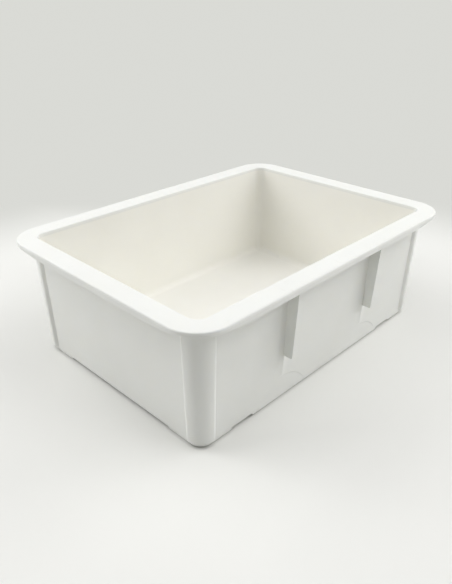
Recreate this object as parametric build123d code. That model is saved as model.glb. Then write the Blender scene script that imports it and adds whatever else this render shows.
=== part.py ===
from build123d import *
from math import asin, atan, cos, degrees, sin
import os

# Dough proofing container: one injection moulding, an open tapered tub with a wide flange.
# Millimetres, +Z up. The origin is the middle of the footprint, on the surface it stands on.
# X runs along the long walls, Y along the short ones.

# Overall size, over the flange
rim_length = 400.0
rim_width = 292.0
height = 135.0

# Flange: a flat plate with an eased edge, as wide on all four sides
flange_thickness = 3.0
flange_corner_radius = 34.5
flange_edge_radius = 1.4
flange_overhang = 18.0

# Downturned lip under the flange's edge, deep along the sides and shallow round the corners
lip_thickness = 2.4
lip_depth = 7.0
lip_corner_depth = 3.4
lip_deep_half_x = 140.0
lip_fade_half_x = 188.0
lip_deep_half_y = 86.0
lip_fade_half_y = 128.0

# Walls: flat panels that lean out by this much over the full height, where the corners
# have the radii given here and below, which narrow downwards by the lean
wall = 4.0
panel_lean = 3.5
floor_thickness = 3.5
cavity_corner_radius = 10.8
cavity_floor_radius = 7.0
mouth_edge_radius = 1.4

# Corner posts: quarter-round columns that stand proud of the panels, with sloping flanks,
# rounded lower inner corners and a chamfer above the feet
post_radius = 19.2
post_proud = 2.6
post_flank_run = 3.5
post_crest_radius = 3.0
post_toe_radius = 6.0
post_foot_relief = 2.4

# Gussets: fins under the flange, two on each long wall, each on a soft ridge of the panel
gusset_spread = 68.4
gusset_thickness = 3.0
gusset_bottom = 52.0
gusset_depth_top = 13.8
gusset_depth_bottom = 11.6
gusset_corner_radius = 2.0
ridge_half_width = 8.0
ridge_height = 1.8
ridge_lower_height = 1.2
ridge_faded_height = 0.4
ridge_bottom = 28.0

# Arches: a shallow round-headed recess at the foot of the long walls, one under each gusset
arch_radius = 46.0
arch_rise = 26.0
arch_depth = 0.7
arch_edge_run = 1.4

# Underside: a perimeter band with a skid under each long wall and a foot at each corner
foot_height = 4.0
foot_band = 11.0
foot_inset = 0.4
foot_relief = 1.6
foot_end_slope = 4.0
skid_half_length = 111.5
foot_start_x = 136.5
foot_start_y = 79.0
underside_recess = 2.0

# One overrun for every cut and for every root that is sunk into what carries it
over = 1.0

# What follows from the sizes above
panel_top_x = rim_length / 2 - flange_overhang
panel_top_y = rim_width / 2 - flange_overhang
panel_radius = post_radius - post_proud
post_crest_x = panel_top_x + post_proud - post_radius
post_crest_y = panel_top_y + post_proud - post_radius
wall_top = height - flange_thickness
cavity_floor = foot_height + underside_recess + floor_thickness
lean_angle = degrees(atan(panel_lean / height))


def lean_below(z):
    """How far the walls have moved in at the height z."""
    return panel_lean * (height - z) / height


def panel_half(z, grow=0):
    """Half sizes over the panel faces at the height z, moved out by grow."""
    move = grow - lean_below(z)
    return panel_top_x + move, panel_top_y + move


def outline(z, grow, radius):
    """Rounded rectangle of the walls at the height z; the radius is the one at full height."""
    half_x, half_y = panel_half(z, grow)
    return Plane.XY.offset(z) * RectangleRounded(2 * half_x, 2 * half_y, radius - lean_below(z))


def drafted(low, high, grow, radius):
    """Block between two heights whose sides lean out with the walls."""
    return extrude(outline(low, grow, radius), high - low, taper=-lean_angle)


def leaning(section, outwards, rise):
    """Prism on a section that leans out with the wall that faces outwards."""
    path = outwards * panel_lean + Vector(0, 0, height)
    return extrude(section, path.length * rise / height, dir=path)


def block(x, y, z):
    """Box between two places on each axis, each given as a pair."""
    middle = Pos(sum(x) / 2, sum(y) / 2, sum(z) / 2)
    return middle * Box(x[1] - x[0], y[1] - y[0], z[1] - z[0])


def mirrored(shape):
    """The shape with its three mirror images across the XZ and YZ planes."""
    pair = [shape, mirror(shape, Plane.YZ)]
    return pair + [mirror(each, Plane.XZ) for each in pair]


def flank_section(face, crest, swap):
    """Section of a post's sloping side: out from the panel, then along it. Swapped, it is (y, x)."""
    proud = face + post_proud
    root = face - wall / 2
    bend = crest - post_crest_radius / 2
    end = bend - post_flank_run
    corners = [(root, crest), (proud, crest), (proud, bend), (face, end), (root, end)]
    if swap:
        corners = [(along, out) for out, along in corners]
    section = Polygon(*corners, align=None)
    crest_corner = section.vertices().sort_by_distance(Vector(*corners[2]))[0]
    return Plane.XY.offset(foot_height) * fillet(crest_corner, post_crest_radius)


def toe_cut(plane, crest):
    """Cutter that rounds the lower inner corner of a post, seen square to one wall."""
    end = crest - post_crest_radius / 2 - post_flank_run
    middle = Pos(end + post_toe_radius, foot_height + post_toe_radius)
    square = Polygon(
        (end - over, foot_height - over),
        (end + post_toe_radius, foot_height - over),
        (end + post_toe_radius, foot_height + post_toe_radius),
        (end - over, foot_height + post_toe_radius),
        align=None,
    )
    return extrude(plane * (square - middle * Circle(post_toe_radius)), rim_length, both=True)


def corner_posts():
    """A quarter-round column at each corner, with a sloping flank on both walls."""
    rise = wall_top - foot_height
    face_x, face_y = panel_half(foot_height)
    column = drafted(foot_height, wall_top, post_proud, post_radius)
    column = column & block((post_crest_x, rim_length), (post_crest_y, rim_width), (0, height))
    flanks = [leaning(flank_section(face_x, post_crest_y, False), Vector(1, 0, 0), rise),
              leaning(flank_section(face_y, post_crest_x, True), Vector(0, 1, 0), rise)]
    post = column + flanks
    post = post - [toe_cut(Plane.YZ, post_crest_y), toe_cut(Plane.XZ, post_crest_x)]
    sole = outline(foot_height, post_proud - post_foot_relief, post_radius - post_foot_relief)
    return mirrored(post & extrude(sole, rise, taper=-45))


def gussets():
    """A fin square to the wall at each place, its outer edge leaning a little."""
    low_y = panel_half(gusset_bottom)[1]
    top_y = panel_half(wall_top)[1]
    side = Polygon(
        (low_y - wall / 2, gusset_bottom),
        (low_y + gusset_depth_bottom, gusset_bottom),
        (top_y + gusset_depth_top, wall_top + flange_thickness / 2),
        (top_y - wall / 2, wall_top + flange_thickness / 2),
        align=None,
    )
    tip = side.vertices().sort_by(Axis.Y)[:2].sort_by(Axis.X)[-1]
    side = fillet(tip, gusset_corner_radius)
    fin = extrude(Plane.YZ * side, gusset_thickness / 2, both=True)
    return mirrored(Pos(gusset_spread, 0, 0) * fin)


def ridge_section(z, rise):
    """Section of the ridge: two hollow flanks, tangent to the panel, that meet in a crest."""
    face_y = panel_half(z)[1]
    half = ridge_half_width
    flank = (half ** 2 + rise ** 2) / (2 * rise)
    half_turn = asin(half / flank) / 2
    waist_x = half - flank * sin(half_turn)
    waist_y = face_y + flank * (1 - cos(half_turn))
    root_y = face_y - wall / 2
    edges = [
        Polyline((-half, face_y), (-half, root_y), (half, root_y), (half, face_y)),
        ThreePointArc((half, face_y), (waist_x, waist_y), (0, face_y + rise)),
        ThreePointArc((0, face_y + rise), (-waist_x, waist_y), (-half, face_y)),
    ]
    return Plane.XY.offset(z) * make_face(edges)


def ridges():
    """The ridge behind each fin, which steps down below it and fades towards the arch."""
    behind = leaning(ridge_section(gusset_bottom, ridge_height), Vector(0, 1, 0),
                     wall_top - gusset_bottom)
    fading = loft([ridge_section(ridge_bottom, ridge_faded_height),
                   ridge_section(gusset_bottom, ridge_lower_height)], ruled=True)
    return [each for part in (behind, fading) for each in mirrored(Pos(gusset_spread, 0, 0) * part)]


def arches():
    """Cutters for the arched recesses, whose upright floor meets the leaning panel at the foot."""
    floor_y = panel_half(arch_rise)[1] - arch_depth
    dish = Cone(arch_radius + arch_edge_run, arch_radius - arch_edge_run, 2 * arch_depth)
    dish = Pos(gusset_spread, floor_y + arch_depth, arch_rise - arch_radius) * Rot(90, 0, 0) * dish
    return mirrored(dish & block((0, rim_length), (0, rim_width), (foot_height, height)))


def footing(inset):
    """Solid slab under the walls, set in from them, its bottom edge relieved."""
    half_x, half_y = panel_half(foot_height, -inset)
    radius = panel_radius - lean_below(foot_height) - inset
    slab = extrude(RectangleRounded(2 * half_x, 2 * half_y, radius), foot_height)
    return chamfer(slab.faces().sort_by(Axis.Z)[0].edges(), foot_relief)


def foot_span(plane, start, end):
    """Space of a foot between two places along a wall, where end slopes are wanted inwards."""
    span = Polygon((start, foot_height), (start + foot_end_slope, 0), (end, 0), (end, foot_height),
                   align=None)
    return extrude(plane * span, rim_length, both=True)


def feet():
    """Corner feet and long skids, hollow inside the perimeter band."""
    hollow = extrude(offset(outline(foot_height, 0, panel_radius), -foot_band), foot_height)
    hollow = Pos(0, 0, -foot_height) * hollow
    corner = footing(foot_inset) & foot_span(Plane.XZ, foot_start_x, rim_length)
    corner = (corner & foot_span(Plane.YZ, foot_start_y, rim_width)) - hollow
    half = foot_span(Plane.XZ, -skid_half_length, 0) & block(
        (-rim_length, 0), (0, rim_width), (0, foot_height))
    skid = (footing(0) & half) - hollow
    return mirrored(corner) + mirrored(skid)


def flange():
    """The flat plate and the lip that hangs from its edge."""
    top = RectangleRounded(rim_length, rim_width, flange_corner_radius)
    plate = Pos(0, 0, wall_top) * extrude(top, flange_thickness)
    ring = top - offset(top, -lip_thickness)
    skirt = Pos(0, 0, height - lip_depth) * extrude(ring, lip_depth)
    return plate + [skirt & lip_profile(lip_deep_half_x, lip_fade_half_x, Plane.XZ),
                    skirt & lip_profile(lip_deep_half_y, lip_fade_half_y, Plane.YZ)]


def lip_profile(deep_half, fade_half, plane):
    """Band seen from one side: full depth in the middle, the corner depth past the fades."""
    far = (rim_length + rim_width) / 2
    band = Polygon(
        (-far, height), (-far, height - lip_corner_depth), (-fade_half, height - lip_corner_depth),
        (-deep_half, height - lip_depth), (deep_half, height - lip_depth),
        (fade_half, height - lip_corner_depth), (far, height - lip_corner_depth), (far, height),
        align=None,
    )
    return extrude(plane * band, far, both=True)


def cavity():
    """The space inside, open at the top, with a rounded edge round its floor."""
    space = drafted(cavity_floor, height + over, -wall, cavity_corner_radius)
    return fillet(space.faces().sort_by(Axis.Z)[0].edges(), cavity_floor_radius)


def floor_recess():
    """Shallow pocket under the floor, inside the perimeter band."""
    plan = offset(outline(0, 0, panel_radius), -foot_band)
    return extrude(plan, foot_height + underside_recess)


def tub():
    """The whole moulding."""
    body = drafted(foot_height, wall_top + flange_thickness / 2, 0, panel_radius)
    body = body + corner_posts() + gussets() + ridges() + feet() + flange()
    body = body - arches()
    body = body - [cavity(), floor_recess()]
    rim = body.faces().filter_by(Plane.XY).sort_by(Axis.Z)[-1]
    body = fillet(rim.outer_wire().edges(), flange_edge_radius)
    rim = body.faces().filter_by(Plane.XY).sort_by(Axis.Z)[-1]
    return fillet(rim.inner_wires()[0].edges(), mouth_edge_radius)


os.makedirs("parts", exist_ok=True)
export_step(tub(), "parts/tub.step")
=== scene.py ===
from math import cos, pi, radians, sin, sqrt

import bpy
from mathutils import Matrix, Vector


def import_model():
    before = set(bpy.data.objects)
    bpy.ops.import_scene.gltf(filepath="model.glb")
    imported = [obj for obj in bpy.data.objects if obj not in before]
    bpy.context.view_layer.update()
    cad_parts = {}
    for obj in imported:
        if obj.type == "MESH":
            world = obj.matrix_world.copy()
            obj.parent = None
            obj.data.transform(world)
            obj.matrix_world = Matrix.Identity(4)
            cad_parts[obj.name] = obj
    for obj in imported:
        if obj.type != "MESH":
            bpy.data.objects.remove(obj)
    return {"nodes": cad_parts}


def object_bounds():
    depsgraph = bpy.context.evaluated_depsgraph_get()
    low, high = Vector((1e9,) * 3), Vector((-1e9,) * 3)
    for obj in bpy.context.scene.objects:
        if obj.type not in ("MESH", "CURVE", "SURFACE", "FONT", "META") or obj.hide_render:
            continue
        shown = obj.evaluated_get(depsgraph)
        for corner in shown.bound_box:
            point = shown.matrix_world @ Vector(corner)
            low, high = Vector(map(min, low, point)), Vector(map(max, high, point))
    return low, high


# Looks of an open dough proofing container: satin white plastic in a soft, pale studio.
# Metres, in the frame of the CAD model: X along the long walls, +Z up, the floor at zero.
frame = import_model()
cad_low, cad_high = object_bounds()
tub = frame["nodes"]["tub"]

# The photograph's frame in pixels, and its view
image_width = 452
image_height = 584
focal_pixels = 584.1
sensor_width = 36.0
camera_place = Vector((-0.4422, -0.4126, 0.3708))
camera_azimuth = radians(44.25)
camera_fall = radians(28.19)
nearest_seen = 0.01
farthest_seen = 20

# The floor, which is seen to fade into the backdrop between two distances from the middle of the
# object, and between two distances behind it
backdrop_color = (0.70, 0.705, 0.67, 1)
floor_radius = 12.0
floor_corners = 128
fade_around = (0.37, 0.60)
fade_behind = (0.30, 0.45)
# How near an edge above it the floor gets painted shade
painted_shade_reach = 0.005

# The lamps stand round the middle of the object
top_distance = 1.8
side_distance = 1.5
top_size = 1.8
front_size = 1.0
side_size = 0.9

# The walls of the tub: they stand in from the flange's edge, and lean out over their height
flange_overhang = 0.018
wall = 0.004
wall_lean = 0.0035
# How far the middle of a wall at a rounded corner falls short of the square corner
corner_round = 0.0062
# Half the width over which the cavity's tone, with its painted warm light, passes into that of the
# outer faces, inside the wall
tone_blur = 0.0008

# Heights over the floor at which a look of the plastic sets in, and at which it is full
cavity_bottom = (0.007, 0.009)
foot_rubbed = (0.007, 0.001)
# Painted shade along the bottom edge
painted_sole_shade_heights = (0.0022, 0.0012)
# The same, as depths under the top of the flange
cavity_top = (0.002, 0.005)
# Painted shade on the lip
lip_top = (0.0022, 0.0036)
lip_bottom = (0.0125, 0.0115)
rim_rubbed = (0.0012, 0.0002)

# A Mix node's colour sockets, which share their names with its other sockets
mix_first = 6
mix_second = 7
mix_result = 2


def principled(name):
    """A new node material, with its tree and its Principled shader."""
    material = bpy.data.materials.new(name)
    material.use_nodes = True
    return material, material.node_tree, material.node_tree.nodes["Principled BSDF"]


def calculate(tree, operation, *values):
    """A math node over sockets and plain numbers."""
    node = tree.nodes.new("ShaderNodeMath")
    node.operation = operation
    for slot, value in zip(node.inputs, values):
        if isinstance(value, (int, float)):
            slot.default_value = value
        else:
            tree.links.new(value, slot)
    return node.outputs["Value"]


def product(tree, first, *others):
    """Sockets and plain numbers multiplied together."""
    for other in others:
        first = calculate(tree, "MULTIPLY", first, other)
    return first


def measure(tree, operation, place, other=None):
    """A number worked out from a place, such as its length or its share along another vector."""
    node = tree.nodes.new("ShaderNodeVectorMath")
    node.operation = operation
    tree.links.new(place, node.inputs[0])
    if other:
        node.inputs[1].default_value = other
    return node.outputs["Value"]


def ramp(tree, value, start, end, low=0.0, high=1.0):
    """A smooth step of a value from low at the start to high at the end."""
    node = tree.nodes.new("ShaderNodeMapRange")
    node.interpolation_type = "SMOOTHSTEP"
    tree.links.new(value, node.inputs["Value"])
    for label, number in (("From Min", start), ("From Max", end), ("To Min", low), ("To Max", high)):
        node.inputs[label].default_value = number
    return node.outputs["Result"]


def noise(tree, place, grains, detail, stretch=(1, 1, 1)):
    """A noise with a number of grains to the metre, drawn out along the axes by the stretch."""
    mapping = tree.nodes.new("ShaderNodeMapping")
    mapping.inputs["Scale"].default_value = [1 / length for length in stretch]
    tree.links.new(place, mapping.inputs["Vector"])
    node = tree.nodes.new("ShaderNodeTexNoise")
    node.inputs["Scale"].default_value = grains
    node.inputs["Detail"].default_value = detail
    tree.links.new(mapping.outputs["Vector"], node.inputs["Vector"])
    return node.outputs["Fac"]


def blend(tree, share, first, second):
    """A colour between two, each of them a colour or a socket."""
    node = tree.nodes.new("ShaderNodeMix")
    node.data_type = "RGBA"
    tree.links.new(share, node.inputs["Factor"])
    for slot, color in ((node.inputs[mix_first], first), (node.inputs[mix_second], second)):
        if isinstance(color, tuple):
            slot.default_value = color
        else:
            tree.links.new(color, slot)
    return node.outputs[mix_result]


def bump(tree, height, depth, below=None):
    """Relief of a depth in metres on the surface, over another relief if there is one."""
    node = tree.nodes.new("ShaderNodeBump")
    node.inputs["Distance"].default_value = depth
    tree.links.new(height, node.inputs["Height"])
    if below:
        tree.links.new(below, node.inputs["Normal"])
    return node.outputs["Normal"]


def mix_shaders(tree, share, first, second, output):
    """One shader shown over another by a share, on a tree's output."""
    mix = tree.nodes.new("ShaderNodeMixShader")
    tree.links.new(share, mix.inputs["Fac"])
    tree.links.new(first, mix.inputs[1])
    tree.links.new(second, mix.inputs[2])
    tree.links.new(mix.outputs["Shader"], tree.nodes[output].inputs["Surface"])


def cavity_share(tree, x, y, z, depth):
    """A socket that is 1 on the faces of the cavity and 0 on the outer faces of the walls."""
    lean = calculate(tree, "MULTIPLY_ADD", z, -wall_lean / cad_high.z, wall_lean)
    x = calculate(tree, "ABSOLUTE", x)
    y = calculate(tree, "ABSOLUTE", y)
    diagonal = calculate(tree, "DIVIDE", calculate(tree, "ADD", x, y), sqrt(2))
    middle_x = cad_high.x - flange_overhang - wall / 2
    middle_y = cad_high.y - flange_overhang - wall / 2
    middle_corner = (middle_x + middle_y) / sqrt(2) - corner_round
    share = product(tree, ramp(tree, z, *cavity_bottom), ramp(tree, depth, *cavity_top))
    for along, middle in ((x, middle_x), (y, middle_y), (diagonal, middle_corner)):
        upright = calculate(tree, "ADD", along, lean)
        share = product(tree, share, ramp(tree, upright, middle + tone_blur, middle - tone_blur))
    return share


def lip_share(tree, depth, inside):
    """A socket that is 1 on the flange's lip, outside the cavity, where shade under the flange's edge
    is painted.
    """
    outside = calculate(tree, "SUBTRACT", 1, inside)
    return product(tree, ramp(tree, depth, *lip_top), ramp(tree, depth, *lip_bottom), outside)


def rim_scratches(tree, place, depth, patches):
    """Fine lines both ways on the top of the flange, in patches."""
    long_grains = noise(tree, place, grains=700, detail=3, stretch=(9, 1, 1))
    wide_grains = noise(tree, place, grains=620, detail=3, stretch=(1, 8, 1))
    along = ramp(tree, long_grains, start=0.60, end=0.72)
    across = ramp(tree, wide_grains, start=0.61, end=0.72)
    lines = calculate(tree, "MAXIMUM", along, across)
    return product(tree, ramp(tree, depth, *rim_rubbed), lines, patches)


def foot_scuffs(tree, place, z):
    """Blotches on the feet, thicker towards the floor."""
    blotches = ramp(tree, noise(tree, place, grains=160, detail=4), start=0.45, end=0.62)
    return product(tree, ramp(tree, z, *foot_rubbed), blotches)


def plastic_color(tree, place, inside, lip, wear, painted_sole_shade):
    """White with faint clouds, painted warm light in the cavity, painted shade on the lip and along
    the soles, and the wear.
    """
    clean = (0.832, 0.838, 0.812, 1)
    clouded = (0.817, 0.822, 0.795, 1)
    # Painted warm light: the cavity's faces are creamier and lighter than the outer faces
    cavity_white_with_painted_light = (0.885, 0.876, 0.828, 1)
    cavity_clouded_with_painted_light = (0.872, 0.862, 0.812, 1)
    # Painted shade under the flange's edge, on the lip
    lip_painted_shade = (0.785, 0.79, 0.765, 1)
    scuffed = (0.74, 0.735, 0.69, 1)
    # Painted shade along the bottom edge: a dark contact line
    painted_contact_shade = (0.74, 0.74, 0.715, 1)
    clouds = ramp(tree, noise(tree, place, grains=16, detail=4), start=0.35, end=0.7)
    outer = blend(tree, clouds, clean, clouded)
    cavity_with_painted_light = blend(tree, clouds, cavity_white_with_painted_light, cavity_clouded_with_painted_light)
    color = blend(tree, inside, outer, cavity_with_painted_light)
    color = blend(tree, lip, color, lip_painted_shade)
    color = blend(tree, wear, color, scuffed)
    return blend(tree, painted_sole_shade, color, painted_contact_shade)


def plastic_roughness(tree, place, wear):
    """Satin, a little uneven, and duller where it is worn."""
    added_by_wear = 0.25
    smears = noise(tree, place, grains=30, detail=4)
    satin = ramp(tree, smears, start=0.3, end=0.7, low=0.46, high=0.54)
    return calculate(tree, "MULTIPLY_ADD", wear, added_by_wear, satin)


def plastic_relief(tree, place, scratches):
    """A long slight wave, a fine grain over it, and the scratches over both."""
    wave_depth = 0.0009
    grain_depth = 0.00004
    scratch_depth = 0.00003
    wave = bump(tree, noise(tree, place, grains=11, detail=1), wave_depth)
    grain = bump(tree, noise(tree, place, grains=1300, detail=2), grain_depth, wave)
    return bump(tree, scratches, scratch_depth, grain)


def white_plastic():
    """Satin white moulded plastic, with painted warm light inside, painted shade on the lip and along
    the bottom edge, and rubbed at the feet and rim.
    """
    rim_wear_share = 0.35
    foot_wear_share = 0.6
    material, tree, shader = principled("white_plastic")
    place = tree.nodes.new("ShaderNodeTexCoord").outputs["Object"]
    axes = tree.nodes.new("ShaderNodeSeparateXYZ")
    tree.links.new(place, axes.inputs["Vector"])
    x, y, z = axes.outputs
    depth = calculate(tree, "SUBTRACT", cad_high.z, z)

    # The cavity's share, where warm light is painted
    inside = cavity_share(tree, x, y, z, depth)
    # The lip's share, where shade is painted
    lip = lip_share(tree, depth, inside)
    patches = ramp(tree, noise(tree, place, grains=45, detail=3), start=0.45, end=0.65)
    scratches = rim_scratches(tree, place, depth, patches)
    rim_wear = product(tree, scratches, rim_wear_share)
    foot_wear = product(tree, foot_scuffs(tree, place, z), foot_wear_share)
    wear = calculate(tree, "MAXIMUM", rim_wear, foot_wear)
    # Painted shade along the bottom edge, broken up by patches
    uneven = ramp(tree, patches, start=-0.5, end=0.8, low=0.3)
    painted_sole_shade = product(tree, ramp(tree, z, *painted_sole_shade_heights), uneven)

    tree.links.new(plastic_color(tree, place, inside, lip, wear, painted_sole_shade), shader.inputs["Base Color"])
    tree.links.new(plastic_roughness(tree, place, wear), shader.inputs["Roughness"])
    tree.links.new(plastic_relief(tree, place, scratches), shader.inputs["Normal"])
    shader.inputs["IOR"].default_value = 1.49
    shader.inputs["Specular IOR Level"].default_value = 0.4
    shader.inputs["Subsurface Weight"].default_value = 0.15
    shader.inputs["Subsurface Radius"].default_value = (1.0, 0.95, 0.8)
    shader.inputs["Subsurface Scale"].default_value = 0.004
    return material


def seen_rays(tree):
    """A socket that is 1 for rays from the camera, from gloss and through glass, and 0 for light."""
    rays = tree.nodes.new("ShaderNodeLightPath").outputs
    reflected = calculate(tree, "MAXIMUM", rays["Is Glossy Ray"], rays["Is Transmission Ray"])
    return calculate(tree, "MAXIMUM", rays["Is Camera Ray"], reflected)


def floor_paper():
    """Pale matt paper, with painted shade where it lies under an edge, and seen to fade into the
    backdrop.
    """
    paper = (0.80, 0.80, 0.773, 1)
    paler_paper = (0.82, 0.82, 0.793, 1)
    paper_in_painted_shade = (0.66, 0.66, 0.635, 1)
    fibre_depth = 0.00005
    material, tree, shader = principled("floor_paper")
    place = tree.nodes.new("ShaderNodeNewGeometry").outputs["Position"]
    color = blend(tree, noise(tree, place, grains=5, detail=3), paper, paler_paper)
    # Painted shade on the floor near edges above it
    corner = tree.nodes.new("ShaderNodeAmbientOcclusion")
    corner.inputs["Distance"].default_value = painted_shade_reach
    floor_painted_shade = ramp(tree, corner.outputs["AO"], start=0.9, end=0.45)
    tree.links.new(blend(tree, floor_painted_shade, color, paper_in_painted_shade), shader.inputs["Base Color"])
    fibres = noise(tree, place, grains=900, detail=3)
    tree.links.new(bump(tree, fibres, fibre_depth), shader.inputs["Normal"])
    shader.inputs["Roughness"].default_value = 0.7

    view_along_floor = Vector((cos(camera_azimuth), sin(camera_azimuth), 0))
    behind = ramp(tree, measure(tree, "DOT_PRODUCT", place, view_along_floor), *fade_behind)
    around = ramp(tree, measure(tree, "LENGTH", place), *fade_around)
    fade = product(tree, calculate(tree, "MAXIMUM", behind, around), seen_rays(tree))
    glow = tree.nodes.new("ShaderNodeEmission")
    glow.inputs["Color"].default_value = backdrop_color
    mix_shaders(tree, fade, shader.outputs["BSDF"], glow.outputs["Emission"], "Material Output")
    return material


def backdrop():
    """A wide round floor of pale paper."""
    turns = [2 * pi * corner / floor_corners for corner in range(floor_corners)]
    outline = [(floor_radius * cos(turn), floor_radius * sin(turn), 0) for turn in turns]
    mesh = bpy.data.meshes.new("floor")
    mesh.from_pydata(outline, [], [range(floor_corners)])
    mesh.materials.append(floor_paper())
    floor = bpy.data.objects.new("floor", mesh)
    bpy.context.scene.collection.objects.link(floor)


def area_light(name, azimuth, rise, distance, size, power):
    """A square soft light turned towards the middle of the object, and kept out of the reflections."""
    middle = (cad_low + cad_high) / 2
    level = cos(radians(rise))
    away = Vector((level * cos(radians(azimuth)), level * sin(radians(azimuth)), sin(radians(rise))))
    light = bpy.data.lights.new(name, "AREA")
    light.size = size
    light.energy = power
    lamp = bpy.data.objects.new(name, light)
    lamp.location = middle + away * distance
    lamp.rotation_euler = (-away).to_track_quat("-Z", "Y").to_euler()
    lamp.visible_camera = False
    lamp.visible_glossy = False
    bpy.context.scene.collection.objects.link(lamp)


def lights():
    """A wide lamp above, a weak one over the camera, and three on each side of the view."""
    area_light("top", azimuth=0, rise=90, distance=top_distance, size=top_size, power=13.6)
    area_light("top_front", azimuth=224, rise=53, distance=side_distance, size=front_size, power=2.0)
    # Each lamp's azimuth and rise in degrees, and its power in watts
    sides = [
        ("left_low", 134, 12, 5.0),
        ("left_high", 112, 40, 6.3),
        ("left_high_front", 137, 40, 5.9),
        ("right_low", 337, 12, 5.0),
        ("right_high", 334, 40, 6.2),
        ("right_high_front", 293, 40, 6.8),
    ]
    for name, azimuth, rise, power in sides:
        area_light(name, azimuth, rise, side_distance, side_size, power)


def world():
    """A dark world, which is seen in the backdrop's colour."""
    made = bpy.data.worlds.new("studio")
    made.use_nodes = True
    tree = made.node_tree
    fill = tree.nodes["Background"]
    fill.inputs["Color"].default_value = (1.0, 1.0, 0.985, 1)
    fill.inputs["Strength"].default_value = 0.02
    seen = tree.nodes.new("ShaderNodeBackground")
    seen.inputs["Color"].default_value = backdrop_color
    shown = seen.outputs["Background"]
    mix_shaders(tree, seen_rays(tree), fill.outputs["Background"], shown, "World Output")
    bpy.context.scene.world = made


def camera():
    """The photograph's view."""
    lens = bpy.data.cameras.new("camera")
    lens.sensor_width = sensor_width
    lens.lens = focal_pixels * sensor_width / max(image_width, image_height)
    lens.clip_start = nearest_seen
    lens.clip_end = farthest_seen
    eye = bpy.data.objects.new("camera", lens)
    eye.location = camera_place
    level = cos(camera_fall)
    look = Vector((level * cos(camera_azimuth), level * sin(camera_azimuth), -sin(camera_fall)))
    eye.rotation_euler = look.to_track_quat("-Z", "Y").to_euler()
    bpy.context.scene.collection.objects.link(eye)
    bpy.context.scene.camera = eye


tub.data.materials.clear()
tub.data.materials.append(white_plastic())
camera()
backdrop()
lights()
world()
bpy.context.scene.view_settings.view_transform = "Standard"
